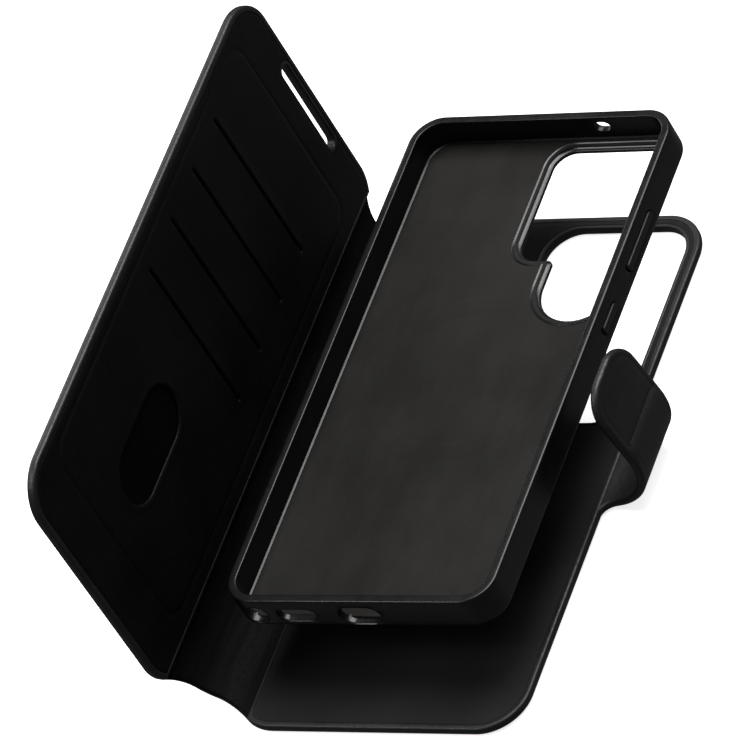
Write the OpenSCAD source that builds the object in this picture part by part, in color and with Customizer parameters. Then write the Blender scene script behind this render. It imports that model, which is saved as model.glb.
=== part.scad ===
// Phone wallet case: a detachable phone case that docks by magnets inside a
// folding wallet with card pockets and a wrap-over closing strap.
// Frame: origin at the middle of the back panel's underside, +X to the strap,
// +Y to the phone's top edge, +Z up out of the panel.

/* [Phone case] */
// Inside width of the case, the phone's width
phone_w = 77.6; // [74:0.1:82]
// Inside length of the case, the phone's length
phone_l = 162.8; // [158:0.1:168]
// Wall thickness of the case
case_wall = 2; // [1.6:0.1:2.4]
// Height of the case from its back to its rim
case_h = 10.8; // [10.2:0.1:12]
// Corner radius of the case's inside
cavity_r = 7; // [6:0.1:9]
// Thickness of the case's floor, with its lining
case_floor = 2; // [1.9:0.1:2.3]
// How far the rim reaches in over the phone
rim_lip = 0.5; // [0.3:0.1:0.8]
// How far a side button stands out of the wall
button_proud = 0.6; // [0.4:0.1:0.8]

/* [Wallet leaves] */
// Width of the back panel and of the front cover
leaf_w = 83.2; // [82:0.1:88]
// Length of the back panel and of the front cover
leaf_l = 173.4; // [170:0.1:180]
// Thickness of the back panel and of the front cover
leaf_t = 2.8; // [2.6:0.1:3.2]
// Corner radius of the leaves
leaf_r = 13; // [11:0.5:14]
// Outer radius of the curved spine between the leaves
spine_r = 19.05; // [18:0.05:20]
// Length of the spine
spine_l = 157; // [150:1:162]
// Thickness of the leather and lining of the spine
spine_t = 1.8; // [1.4:0.1:2.2]

/* [Camera window] */
// Width of the window in the back panel
window_w = 44.1; // [40:0.1:45]
// Length of the window in the back panel
window_l = 67.8; // [60:0.1:69]
// Corner radius of the window in the back panel
window_r = 9.5; // [7:0.5:12]

/* [Card pockets] */
// Length of each card slit
slit_l = 55.5; // [54.5:0.1:58]
// Width of each card slit
slit_w = 0.6; // [0.4:0.1:1]
// Distance from one card slit to the next
slit_pitch = 17.2; // [15:0.1:17.4]
// Place of the first card slit, above the middle of the cover
first_slit_y = 48.1; // [46:0.1:50]

/* [Closing strap] */
// Width of the strap
strap_w = 24.5; // [20:0.5:28]
// Thickness of the strap
strap_t = 2.5; // [2.2:0.1:2.6]
// Length of the flat end of the strap
strap_tab_l = 22.5; // [20:0.5:24]

/* [Magnets] */
// Outer radius of the ring of magnets
ring_r_out = 28; // [26:0.5:28]
// Inner radius of the ring of magnets
ring_r_in = 23; // [21:0.5:24]
// How far the ring's middle is below the middle of the phone
ring_drop = 2; // [1:0.5:3]

/* [Hidden] */
$fn = 64;

seam = 0.05;            // clearance between two pieces of one body
over = 1;               // how far a cutting shape runs past a face
edge = 1;               // width of the turned leather edge of a leaf
leaf_skin_t = 1;        // leather under the board of the back panel
leaf_board_t = 0.8;     // board of the back panel
cover_skin_t = 0.8;     // leather under the board of the front cover
cover_board_t = 0.6;    // board of the front cover
divider_t = 0.2;        // one fabric divider between two cards
corner_run = 5;         // how far the corner curve of a leaf runs on into the spine
fold_gap = 0.2;         // gap between a leaf's edge and the spine

case_w = phone_w + 2 * case_wall;
case_l = phone_l + 2 * case_wall;
case_r = cavity_r + case_wall;
case_offset_y = 14.7;   // the loose case's place along Y, from docked
case_offset_z = 19.6;   // the loose case's height above its docked place
dock_gap = 0.3;         // gap between the docked case and the back panel
case_z = leaf_t + dock_gap + case_offset_z;
lining_t = 0.5;         // microfibre lining of the case's floor
back_plate_t = case_floor - lining_t;
rim_h = 0.8;            // height of the rim's inward lip

leaf_left = -leaf_w / 2;
window_right = 37.6;
window_y = 48.6;        // middle of the back panel's window

hole_left = 1.5;        // camera hole of the case
hole_right = 37;
hole_bottom = 39;
hole_top = 77.5;
hole_r = 6;
lobe_r = 11.95;         // lower lobe of the camera hole
lobe_y = 29.85;
lobe_up = 20;           // how far the lobe's straight part runs up
frame_band = 2.5;       // width of the bevelled frame around the camera hole
hole_bevel = 1.2;       // how far the frame's bevel reaches outwards
bevel_h = 1;            // height of the frame's bevel

ring_segment = 15;      // angle from one magnet to the next
ring_magnet = 13.6;     // angle that one magnet covers
magnet_t = 0.7;
back_ring_first = 120;  // the rings are open beside the camera windows
back_ring_count = 17;
case_ring_first = 78;
case_ring_count = 20;
align_y = -46;          // alignment magnet below the ring
align_w = 5;
align_l = 14;

button_h = 2.6;
button_z = 5.1;
button_gap = 0.25;
volume_y = 41.6;
volume_l = 20;
power_y = 15.1;
power_l = 10;
flange_out = 0.6;       // how far a button's flange reaches past its cap
flange_t = 0.8;
flange_inset = 0.1;
stem_in = 1;            // how far a button's cap reaches into the wall

port_z = 4.6;           // middle height of the ports in the bottom wall
usb_w = 12.4;
usb_h = 6.6;
speaker_x = -19.3;
speaker_w = 11.7;
speaker_h = 4.6;
stylus_x = -32;
stylus_w = 7;
stylus_h = 6;
mic_x = 16.2;
mic_z = 6.5;
mic_w = 5;
mic_h = 3.6;

ear_slot_a = 38.7;      // middle of the earpiece slot, from the spine edge
ear_slot_l = 33.9;
ear_slot_y = 81.7;
ear_slot_w = 4.4;
slit_a = 45;            // middle of the card slits, from the spine edge
slit_count = 4;
thumb_l = 33.4;         // thumb window over the lowest card
thumb_w = 17.9;
thumb_a = 44.4;
thumb_y = -40;
divider_w = 60;
divider_foot = -81;     // lower end of every card divider
divider_rise = 3;       // how far a divider reaches past its slit
clasp_a = 58;
clasp_w = 16;
clasp_l = 18;

strap_half = strap_t / 2;
root_x = 43.1;          // fold line at the strap's root
root_z = 1.4;
bend_r = 14.57;         // the strap's bend from flat to upright
bend_angle = 75;
bend_x = 43.23;
neck_lining_start = 6;  // the neck's lining starts past the round root end
knuckle_gap = 0.4;
crease_x = bend_x + bend_r * sin(bend_angle);
crease_z = root_z + bend_r * (1 - cos(bend_angle));
tab_r = 20;             // slow curve of the strap's tab
tab_turn = 23;
tab_angle = bend_angle + tab_turn;
tab_centre_x = crease_x - tab_r * sin(bend_angle);
tab_centre_z = crease_z + tab_r * cos(bend_angle);
tab_x = tab_centre_x + tab_r * sin(tab_angle);
tab_z = tab_centre_z - tab_r * cos(tab_angle);
tab_tip_r = 9;
strap_leather_t = 0.8;  // leather and lining of the tab, each side of its board
strap_board_in = 0.8;   // how far the tab's board stays inside its edge
tab_start = 4;          // the inner layers start past the round crease end
tab_steps = 12;
magnet_w = 9;
magnet_l = 8;
magnet_up = 12;         // the tab's magnets, up from the straight stretch's start
magnet_spread = 5.5;

leather = [0.10, 0.10, 0.11];
lining = [0.16, 0.16, 0.17];
shell = [0.13, 0.13, 0.14];
board = [0.45, 0.43, 0.40];
steel = [0.70, 0.71, 0.73];
fabric = [0.22, 0.22, 0.23];

// ---- shared outlines ----

module rounded_rect(w, l, r) {
    union() {
        square([w - 2 * r, l], center = true);
        square([w, l - 2 * r], center = true);
        for (x = [-1, 1], y = [-1, 1])
            translate([x * (w / 2 - r), y * (l / 2 - r)]) circle(r);
    }
}

module stadium(l, w) {
    union() {
        square([l - w, w], center = true);
        for (x = [-1, 1]) translate([x * (l - w) / 2, 0]) circle(w / 2);
    }
}

// A leaf lies flat with its spine edge at x = 0 and its free edge at x = leaf_w
module leaf_outline(inset) {
    intersection() {
        translate([(leaf_w - corner_run) / 2, 0])
            rounded_rect(leaf_w + corner_run - 2 * inset, leaf_l - 2 * inset, leaf_r - inset);
        translate([inset, -leaf_l / 2]) square([leaf_w, leaf_l]);
    }
}

module window_outline(grow) {
    translate([window_right - window_w / 2 - leaf_left, window_y])
        rounded_rect(window_w + 2 * grow, window_l + 2 * grow, window_r + grow);
}

module ear_slot_outline(grow) {
    translate([ear_slot_a, ear_slot_y]) stadium(ear_slot_l + 2 * grow, ear_slot_w + 2 * grow);
}

module hole_outline(grow) {
    hole_w = hole_right - hole_left;
    hole_l = hole_top - hole_bottom;
    translate([(hole_left + hole_right) / 2, (hole_bottom + hole_top) / 2])
        rounded_rect(hole_w + 2 * grow, hole_l + 2 * grow, hole_r + grow);
    translate([hole_right - lobe_r, lobe_y]) {
        circle(lobe_r + grow);
        translate([-lobe_r - grow, 0]) square([2 * (lobe_r + grow), lobe_up]);
    }
}

module slab(z, h) { translate([0, 0, z]) linear_extrude(h) children(); }

module place_back() { translate([leaf_left, 0, 0]) children(); }

// Stands a flat leaf upright, with its leather side facing -X
module place_cover() {
    translate([leaf_left - spine_r, 0, spine_r])
        rotate([0, -90, 0]) mirror([0, 0, 1]) translate([fold_gap, 0, 0]) children();
}

module place_case() { translate([0, case_offset_y, case_z]) children(); }

module magnet_ring(first, count, t) {
    for (i = [0 : count - 1])
        rotate([0, 0, first + i * ring_segment])
            rotate_extrude(angle = ring_magnet)
                translate([ring_r_in, 0]) square([ring_r_out - ring_r_in, t]);
}

// The groove that holds a ring of magnets, as one arc
module ring_groove(first, count, z, h) {
    translate([0, -ring_drop, z]) rotate([0, 0, first - 1])
        rotate_extrude(angle = count * ring_segment)
            translate([ring_r_in - seam, 0])
                square([ring_r_out - ring_r_in + 2 * seam, h]);
}

// ---- back panel ----

module back_skin() {
    color(leather) place_back() difference() {
        slab(0, leaf_t) leaf_outline(0);
        slab(-over, leaf_t + 2 * over) window_outline(0);
        slab(leaf_skin_t, leaf_t) difference() {
            leaf_outline(edge);
            window_outline(edge);
        }
    }
}

module back_board() {
    color(board) difference() {
        place_back() slab(leaf_skin_t, leaf_board_t - seam) difference() {
            leaf_outline(edge + seam);
            window_outline(edge + seam);
        }
        ring_groove(back_ring_first, back_ring_count, leaf_skin_t - over, leaf_t);
        translate([0, align_y, 0])
            cube([align_w + 2 * seam, align_l + 2 * seam, 2 * leaf_t], center = true);
    }
}

module back_lining() {
    low = leaf_skin_t + leaf_board_t;
    color(lining) place_back() slab(low, leaf_t - low) difference() {
        leaf_outline(edge + seam);
        window_outline(edge + seam);
    }
}

module back_magnet_ring() {
    color(steel) translate([0, -ring_drop, leaf_skin_t])
        magnet_ring(back_ring_first, back_ring_count, magnet_t);
}

module back_align_magnet() {
    color(steel) translate([-align_w / 2, align_y - align_l / 2, leaf_skin_t])
        cube([align_w, align_l, magnet_t]);
}

// ---- detachable phone case ----

module bottom_port(x, w, h) {
    translate([x, -case_l / 2, port_z]) rotate([90, 0, 0])
        linear_extrude(cavity_r, center = true) stadium(w, h);
}

module button_window(y, l) {
    translate([0, y, button_z]) {
        translate([case_w / 2 - case_wall - over, 0, 0]) rotate([0, 90, 0]) rotate([0, 0, 90])
            linear_extrude(case_wall + 2 * over)
                stadium(l + 2 * button_gap, button_h + 2 * button_gap);
        translate([case_w / 2 - case_wall - over, 0, 0]) rotate([0, 90, 0]) rotate([0, 0, 90])
            linear_extrude(over + flange_inset + flange_t + button_gap)
                stadium(l + 2 * (flange_out + button_gap),
                        button_h + 2 * (flange_out + button_gap));
    }
}

module case_bumper() {
    color(shell) place_case() difference() {
        slab(0, case_h) rounded_rect(case_w, case_l, case_r);
        slab(-over, case_h - rim_h + over) rounded_rect(phone_w, phone_l, cavity_r);
        slab(0, case_h + over)
            rounded_rect(phone_w - 2 * rim_lip, phone_l - 2 * rim_lip, cavity_r - rim_lip);
        bottom_port(0, usb_w, usb_h);
        bottom_port(speaker_x, speaker_w, speaker_h);
        bottom_port(stylus_x, stylus_w, stylus_h);
        translate([mic_x, case_l / 2, mic_z]) rotate([90, 0, 0])
            linear_extrude(cavity_r, center = true) stadium(mic_w, mic_h);
        button_window(volume_y, volume_l);
        button_window(power_y, power_l);
    }
}

module floor_outline() {
    difference() {
        rounded_rect(phone_w - 2 * seam, phone_l - 2 * seam, cavity_r - seam);
        hole_outline(frame_band + seam);
    }
}

module case_back() {
    low = back_plate_t - magnet_t - seam;
    color(shell) place_case() difference() {
        slab(0, back_plate_t) floor_outline();
        ring_groove(case_ring_first, case_ring_count, low, case_floor);
        translate([-align_w / 2 - seam, align_y - align_l / 2 - seam, low])
            cube([align_w + 2 * seam, align_l + 2 * seam, case_floor]);
    }
}

module case_lining() {
    color(lining) place_case() slab(back_plate_t, lining_t) floor_outline();
}

module camera_frame() {
    color(shell) place_case() difference() {
        slab(0, case_floor) intersection() {
            hole_outline(frame_band);
            rounded_rect(phone_w - 2 * seam, phone_l - 2 * seam, cavity_r - seam);
        }
        slab(-over, case_floor + 2 * over) hole_outline(0);
        slab(case_floor - bevel_h, case_floor) hole_outline(hole_bevel);
    }
}

module case_magnet_ring() {
    color(steel) place_case() translate([0, -ring_drop, back_plate_t - magnet_t - seam])
        magnet_ring(case_ring_first, case_ring_count, magnet_t);
}

module case_align_magnet() {
    color(steel) place_case()
        translate([-align_w / 2, align_y - align_l / 2, back_plate_t - magnet_t - seam])
            cube([align_w, align_l, magnet_t]);
}

module side_button(y, l) {
    inside = case_w / 2 - case_wall;
    cap_from = case_w / 2 - stem_in - flange_inset;
    color(shell) place_case() translate([0, y, button_z]) {
        translate([inside + flange_inset, 0, 0]) rotate([0, 90, 0]) rotate([0, 0, 90])
            linear_extrude(flange_t) stadium(l + 2 * flange_out, button_h + 2 * flange_out);
        translate([cap_from - flange_inset, 0, 0]) rotate([0, 90, 0]) rotate([0, 0, 90])
            linear_extrude(case_w / 2 + button_proud - cap_from + flange_inset)
                stadium(l, button_h);
    }
}

module volume_button() { side_button(volume_y, volume_l); }

module power_button() { side_button(power_y, power_l); }

// ---- spine ----

module spine_layer(r_in, t) {
    gap_angle = asin(fold_gap / spine_r);
    translate([leaf_left, 0, spine_r]) rotate([-90, 0, 0]) rotate([0, 0, 90 + gap_angle])
        rotate_extrude(angle = 90 - 2 * gap_angle)
            translate([r_in, -spine_l / 2]) square([t, spine_l]);
}

module spine_skin() { color(leather) spine_layer(spine_r - spine_t / 2, spine_t / 2); }

module spine_lining() {
    color(lining) spine_layer(spine_r - spine_t, spine_t / 2 - seam);
}

// ---- front cover ----

function slit_y(i) = first_slit_y - i * slit_pitch;
function divider_z(i) = cover_skin_t + cover_board_t + i * divider_t;

module cover_skin() {
    color(leather) place_cover() difference() {
        slab(0, leaf_t) leaf_outline(0);
        slab(-over, leaf_t + 2 * over) ear_slot_outline(0);
        slab(cover_skin_t, leaf_t) difference() {
            leaf_outline(edge);
            ear_slot_outline(edge);
        }
    }
}

module cover_board() {
    color(board) place_cover() slab(cover_skin_t, cover_board_t - seam) difference() {
        leaf_outline(edge + seam);
        ear_slot_outline(edge + seam);
        translate([clasp_a, 0]) square([clasp_w + 2 * seam, clasp_l + 2 * seam], center = true);
    }
}

module clasp_plate() {
    color(steel) place_cover() slab(cover_skin_t, cover_board_t - seam)
        translate([clasp_a, 0]) square([clasp_w, clasp_l], center = true);
}

module card_divider(i) {
    color(fabric) place_cover() slab(divider_z(i), divider_t - seam)
        translate([slit_a - divider_w / 2, divider_foot])
            square([divider_w, slit_y(i) + divider_rise - divider_foot]);
}

module card_divider_1() { card_divider(0); }

module card_divider_2() { card_divider(1); }

module card_divider_3() { card_divider(2); }

module card_divider_4() { card_divider(3); }

module cover_lining() {
    low = divider_z(slit_count);
    color(lining) place_cover() slab(low, leaf_t - low) difference() {
        leaf_outline(edge + seam);
        ear_slot_outline(edge + seam);
        for (i = [0 : slit_count - 1])
            translate([slit_a, slit_y(i)]) square([slit_l, slit_w], center = true);
        translate([thumb_a, thumb_y]) rotate([0, 0, 90]) stadium(thumb_l, thumb_w);
    }
}

// ---- closing strap ----

// An arc of the strap seen from the side, from one angle to another, measured from +X
module strap_arc(x, z, r, from, to, out, in, w) {
    translate([x, 0, z]) rotate([90, 0, 0]) rotate([0, 0, from])
        rotate_extrude(angle = to - from)
            translate([r + in, -w / 2]) square([out - in, w]);
}

module strap_neck_skin() {
    color(leather) difference() {
        union() {
            strap_arc(bend_x, root_z + bend_r, bend_r, -90, bend_angle - 90,
                      strap_half, seam, strap_w);
            translate([root_x, -strap_w / 2, root_z - strap_half])
                cube([bend_x - root_x, strap_w, strap_half - seam]);
            fold_round(root_x, root_z);
        }
        crease_clearance();
    }
}

module strap_neck_lining() {
    color(lining) difference() {
        strap_arc(bend_x, root_z + bend_r, bend_r, neck_lining_start - 90, bend_angle - 90,
                  0, -strap_half, strap_w);
        crease_clearance();
    }
}

// Room in the neck for the round start of the tab
module crease_clearance() {
    translate([crease_x, 0, crease_z]) rotate([90, 0, 0])
        cylinder(r = strap_half + knuckle_gap, h = strap_w + 2 * over, center = true);
}

// Side profile of one layer of the tab: its slow curve, then its straight stretch
function tab_arc(r, start) = [
    for (i = [0 : tab_steps])
        let (a = bend_angle - 90 + start + (tab_turn - start) * i / tab_steps)
            [tab_centre_x + r * cos(a), tab_centre_z + r * sin(a)]
];
function tab_end(r, l) = [
    tab_centre_x + r * sin(tab_angle) + l * cos(tab_angle),
    tab_centre_z - r * cos(tab_angle) + l * sin(tab_angle)
];
function reversed(list) = [for (i = [len(list) - 1 : -1 : 0]) list[i]];
function tab_profile(out, in, start, l) = concat(
    tab_arc(tab_r + out, start), [tab_end(tab_r + out, l), tab_end(tab_r + in, l)],
    reversed(tab_arc(tab_r + in, start))
);

module tab_layer(out, in, w, start, l, r) {
    intersection() {
        rotate([90, 0, 0]) linear_extrude(w + 2 * over, center = true)
            polygon(tab_profile(out, in, start, l + over));
        tab_flat(tab_r / 2, -tab_r / 2) tip_outline(w, l, r);
    }
}

// Places an outline on the tab's straight stretch, as one layer
module tab_flat(out, in) {
    translate([tab_x, 0, tab_z]) rotate([0, -tab_angle, 0]) translate([0, 0, -out])
        linear_extrude(out - in) children();
}

module tip_outline(w, l, r) {
    union() {
        translate([-tab_r, -w / 2]) square([l - r + tab_r, w]);
        translate([0, r - w / 2]) square([l, w - 2 * r]);
        for (y = [-1, 1]) translate([l - r, y * (w / 2 - r)]) circle(r);
    }
}

module strap_tab_skin() {
    color(leather) intersection() {
        rotate([90, 0, 0]) linear_extrude(strap_w + 2 * over, center = true) union() {
            polygon(tab_profile(strap_half, strap_half - strap_leather_t, 0,
                                strap_tab_l + over));
            translate([crease_x, crease_z]) circle(strap_half - seam);
        }
        tab_flat(tab_r / 2, -tab_r / 2) tip_outline(strap_w, strap_tab_l, tab_tip_r);
    }
}

// The round end of a strap piece at its fold line
module fold_round(x, z) {
    translate([x, 0, z]) rotate([90, 0, 0])
        cylinder(r = strap_half - seam, h = strap_w, center = true);
}

module strap_board() {
    half = strap_half - strap_leather_t;
    color(board) difference() {
        tab_layer(half - seam, -half, strap_w - 2 * strap_board_in, tab_start,
                  strap_tab_l - strap_board_in, tab_tip_r - strap_board_in);
        tab_flat(strap_t, -strap_t) magnet_outlines(seam);
    }
}

module magnet_outlines(grow) {
    for (y = [-1, 1])
        translate([magnet_up, y * magnet_spread])
            square([magnet_l + 2 * grow, magnet_w + 2 * grow], center = true);
}

module strap_magnets() {
    half = strap_half - strap_leather_t;
    color(steel) tab_flat(half - seam, -half) magnet_outlines(0);
}

module strap_tab_lining() {
    color(lining) tab_layer(strap_leather_t - strap_half - seam, -strap_half, strap_w,
                            tab_start, strap_tab_l, tab_tip_r);
}

back_skin();
back_board();
back_lining();
back_magnet_ring();
back_align_magnet();
case_bumper();
case_back();
case_lining();
camera_frame();
case_magnet_ring();
case_align_magnet();
volume_button();
power_button();
spine_skin();
spine_lining();
cover_skin();
cover_board();
clasp_plate();
card_divider_1();
card_divider_2();
card_divider_3();
card_divider_4();
cover_lining();
strap_neck_skin();
strap_neck_lining();
strap_tab_skin();
strap_board();
strap_magnets();
strap_tab_lining();
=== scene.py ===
import math

import bmesh
import bpy
import numpy as np
from mathutils import Matrix, Vector, noise
from mathutils.geometry import delaunay_2d_cdt


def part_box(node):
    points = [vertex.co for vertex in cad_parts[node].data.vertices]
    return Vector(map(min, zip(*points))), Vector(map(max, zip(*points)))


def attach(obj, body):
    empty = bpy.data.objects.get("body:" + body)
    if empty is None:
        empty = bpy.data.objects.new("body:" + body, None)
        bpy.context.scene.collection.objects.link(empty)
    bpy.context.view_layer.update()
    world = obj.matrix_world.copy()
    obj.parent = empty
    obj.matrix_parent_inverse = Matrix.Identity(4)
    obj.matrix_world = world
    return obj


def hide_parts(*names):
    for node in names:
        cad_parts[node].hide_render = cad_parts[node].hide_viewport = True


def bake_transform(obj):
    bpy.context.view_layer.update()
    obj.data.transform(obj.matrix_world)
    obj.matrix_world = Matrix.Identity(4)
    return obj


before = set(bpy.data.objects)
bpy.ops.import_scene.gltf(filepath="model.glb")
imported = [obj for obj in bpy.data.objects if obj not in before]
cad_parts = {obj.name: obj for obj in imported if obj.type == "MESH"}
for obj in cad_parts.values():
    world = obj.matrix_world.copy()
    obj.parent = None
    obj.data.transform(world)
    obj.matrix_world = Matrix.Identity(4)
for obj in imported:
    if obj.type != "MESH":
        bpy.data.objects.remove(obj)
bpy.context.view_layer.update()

# Shapes are worked out in millimetres, in the CAD frame, and stored in metres.
MM = 0.001

# ---------------------------------------------------------------- sizes, from the frame


def node_box(name):
    """Lowest and highest corner of a CAD node at rest, in millimetres."""
    low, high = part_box(name)
    return low / MM, high / MM


PANEL_LOW, PANEL_HIGH = node_box("back_skin")
COVER_LOW = node_box("cover_skin")[0]
CASE_LOW, CASE_HIGH = node_box("case_bumper")
FLOOR_LOW, FLOOR_HIGH = node_box("case_lining")

LEAF_T = PANEL_HIGH.z - PANEL_LOW.z
LEAF_W = PANEL_HIGH.x - PANEL_LOW.x
LEAF_HALF = PANEL_HIGH.y
LEAF_R = 13.0
CORNER_RUN = 5.0        # the leaves' corner curves run on into the spine
EDGE_R = 1.15           # rounding of the turned leather edge
SPINE_R = 19.05
SPINE_T = 1.8
SPINE_HALF = node_box("spine_skin")[1].y
SPINE_X = PANEL_LOW.x

CASE_X = (CASE_LOW.x + CASE_HIGH.x) / 2
CASE_Y = (CASE_LOW.y + CASE_HIGH.y) / 2
CASE_Z = CASE_LOW.z
CASE_W = CASE_HIGH.x - CASE_LOW.x
CASE_L = CASE_HIGH.y - CASE_LOW.y
CASE_H = CASE_HIGH.z - CASE_LOW.z
CASE_R = 9.0
WALL = 2.0
FLOOR_Z = FLOOR_HIGH.z - CASE_Z
BACK_Z = FLOOR_LOW.z - CASE_Z

STRAP_HALF = node_box("strap_tab_skin")[1].y
STRAP_T = 2.5
ROOT_Z = 1.4            # the strap's middle layer at its root
BEND_R = 14.57          # its bend from flat to upright, then the slow curve of its tab
BEND_TURN = math.radians(75)
BEND_X = 43.23
TAB_R = 20.0
TAB_TURN = math.radians(23)
TAB_L = 22.5

# ---------------------------------------------------------------- outlines

STEP = 2.5              # longest edge along an outline
ARC_STEP = 0.9
TINY = 0.02
SHARP = 38              # edges that turn by more than this, in degrees, stay crisp


def corner_points(corner, grow, count):
    """Points along one corner of an outline that has been grown outwards."""
    x, y, r, start, end = corner
    radius = r + grow if end > start else r - grow
    if end < start and radius < TINY:
        middle = math.radians((start + end) / 2)
        x += radius * math.sqrt(2) * math.cos(middle)
        y += radius * math.sqrt(2) * math.sin(middle)
    radius = max(radius, TINY)
    angles = np.radians(np.linspace(start, end, count + 1))
    return [(x + radius * math.cos(a), y + radius * math.sin(a)) for a in angles]


def arc_count(corner):
    return max(5, math.ceil(abs(math.radians(corner[4] - corner[3])) * corner[2] / ARC_STEP))


def outline(corners, grow=0.0, step=STEP):
    """A closed outline, anticlockwise, with the same number of points however far it is grown."""
    base = [corner_points(c, 0, arc_count(c)) for c in corners]
    grown = [corner_points(c, grow, arc_count(c)) for c in corners]
    points = []
    for i, arc in enumerate(grown):
        after = (i + 1) % len(corners)
        span = math.dist(base[i][-1], base[after][0])
        pieces = max(1, math.ceil(span / step))
        points += arc
        start, end = np.array(arc[-1]), np.array(grown[after][0])
        points += [tuple(start + (end - start) * k / pieces) for k in range(1, pieces)]
    return np.array(points)


def rect_corners(x0, x1, y0, y1, r):
    return [(x1 - r, y0 + r, r, -90, 0), (x1 - r, y1 - r, r, 0, 90),
            (x0 + r, y1 - r, r, 90, 180), (x0 + r, y0 + r, r, 180, 270)]


def stadium_corners(x, y, length, width):
    """A slot with round ends, along the first axis."""
    r = width / 2
    half = length / 2 - r
    return [(x + half, y, r, -90, 90), (x - half, y, r, 90, 270)]


def leaf_corners():
    """A wallet leaf, flat, with its spine edge at 0 and its free edge at LEAF_W."""
    side = math.degrees(math.acos((CORNER_RUN - LEAF_R) / LEAF_R))
    near, far = LEAF_R - CORNER_RUN, LEAF_W - LEAF_R
    up = LEAF_HALF - LEAF_R
    return [(far, -up, LEAF_R, -90, 0), (far, up, LEAF_R, 0, 90),
            (near, up, LEAF_R, 90, side), (near, -up, LEAF_R, 360 - side, 270)]


def inside(points, loop):
    """Which points lie inside a closed outline."""
    x, y = points[:, 0][:, None], points[:, 1][:, None]
    ax, ay = loop[:, 0][None], loop[:, 1][None]
    bx, by = np.roll(loop[:, 0], -1)[None], np.roll(loop[:, 1], -1)[None]
    crosses = (ay > y) != (by > y)
    rise = np.where(by == ay, 1e-9, by - ay)
    at = ax + (y - ay) * (bx - ax) / rise
    return (crosses & (x < at)).sum(1) % 2 == 1


def smooth(t):
    t = np.clip(t, 0, 1)
    return t * t * (3 - 2 * t)


def rect_distance(x, y, box, r):
    """Signed distance to a rounded rectangle (x0, x1, y0, y1), below zero inside."""
    x0, x1, y0, y1 = box
    dx = np.abs(x - (x0 + x1) / 2) - (x1 - x0) / 2 + r
    dy = np.abs(y - (y0 + y1) / 2) - (y1 - y0) / 2 + r
    outside = np.hypot(np.maximum(dx, 0), np.maximum(dy, 0))
    return outside + np.minimum(np.maximum(dx, dy), 0) - r


def ripple(x, y, size, seed):
    """Slow unevenness of hand-finished leather, between about -1 and 1."""
    return np.array([noise.noise(Vector((a / size, b / size, seed))) for a, b in zip(x, y)])


# ---------------------------------------------------------------- meshes


def new_object(name, points, faces, sharp=SHARP):
    """A mesh object from points in millimetres, with outward normals and smooth shading."""
    mesh = bpy.data.meshes.new(name)
    mesh.from_pydata((np.asarray(points) * MM).tolist(), [], faces)
    mesh.validate()
    work = bmesh.new()
    work.from_mesh(mesh)
    bmesh.ops.remove_doubles(work, verts=work.verts, dist=1e-7)
    bmesh.ops.recalc_face_normals(work, faces=work.faces)
    work.to_mesh(mesh)
    work.free()
    mesh.shade_smooth()
    mesh.set_sharp_from_angle(angle=math.radians(sharp))
    obj = bpy.data.objects.new(name, mesh)
    bpy.context.scene.collection.objects.link(obj)
    return obj


def quads(a, b):
    """Faces between two rings of point numbers."""
    count = len(a)
    return [(a[i], a[(i + 1) % count], b[(i + 1) % count], b[i]) for i in range(count)]


def round_edge(t, r, segments=5, low_r=None):
    """(inset, height) from the lower face's edge, round the side, to the upper face's edge."""
    low_r = r if low_r is None else low_r
    bend = np.linspace(0, math.pi / 2, segments + 1)
    lower = [(low_r * (1 - math.sin(a)), low_r * (1 - math.cos(a))) for a in bend]
    upper = [(r * (1 - math.cos(a)), t - r + r * math.sin(a)) for a in bend]
    return lower + upper


def grid_points(loops, cell, clear):
    """A field of points inside the first loop and outside the rest, clear of all lines."""
    outer = loops[0][0]
    lo, hi = outer.min(0), outer.max(0)
    counts = np.maximum(2, np.ceil((hi - lo) / cell)).astype(int)
    axes = [np.linspace(lo[k], hi[k], counts[k] + 1)[1:-1] for k in range(2)]
    field = np.array([(a, b) for a in axes[0] for b in axes[1]])
    field = field[inside(field, outer)]
    for points, kind in loops[1:]:
        if kind == "hole":
            field = field[~inside(field, points)]
    lines = np.concatenate([points for points, kind in loops])
    near = np.full(len(field), 1e9)
    for start in range(0, len(lines), 200):
        gap = np.linalg.norm(field[:, None] - lines[None, start:start + 200], axis=2)
        near = np.minimum(near, gap.min(1))
    return field[near > clear * cell]


def fill(loops, cell, clear=0.45):
    """Triangles for a face: the first loop is its edge, then "hole" and "line" loops."""
    field = grid_points(loops, cell, clear)
    coords, edges = [], []
    for points, kind in loops:
        first, count = len(coords), len(points)
        coords += [Vector(p) for p in points]
        last = count - 1 if kind == "open" else count
        edges += [(first + i, first + (i + 1) % count) for i in range(last)]
    coords += [Vector(p) for p in field]
    verts, _, faces, origin, _, _ = delaunay_2d_cdt(coords, edges, [], 0, 1e-5)
    flat = np.array([(v.x, v.y) for v in verts])
    tris = np.array([f for f in faces if len(f) == 3])
    where = {}
    for number, given in enumerate(origin):
        for g in given:
            where[g] = number
    return flat, tris[wanted(flat, tris, loops, where)], where


def sides(triangle):
    a, b, c = (int(k) for k in triangle)
    return frozenset((a, b)), frozenset((b, c)), frozenset((c, a))


def rim_sides(loops, where):
    """The triangle sides that lie on a face's edge or on a hole's."""
    walls, first = set(), 0
    for points, kind in loops:
        if kind in ("edge", "hole"):
            ring = [where[first + i] for i in range(len(points))]
            walls |= {frozenset(pair) for pair in zip(ring, ring[1:] + ring[:1])}
        first += len(points)
    return walls


def region_of(seed, tris, beside, walls, seen):
    """All triangles that can be reached from one without crossing a wall."""
    region, todo = [], [int(seed)]
    seen[seed] = True
    while todo:
        here = todo.pop()
        region.append(here)
        for side in sides(tris[here]):
            for other in beside[side] if side not in walls else ():
                if not seen[other]:
                    seen[other] = True
                    todo.append(other)
    return region


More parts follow.
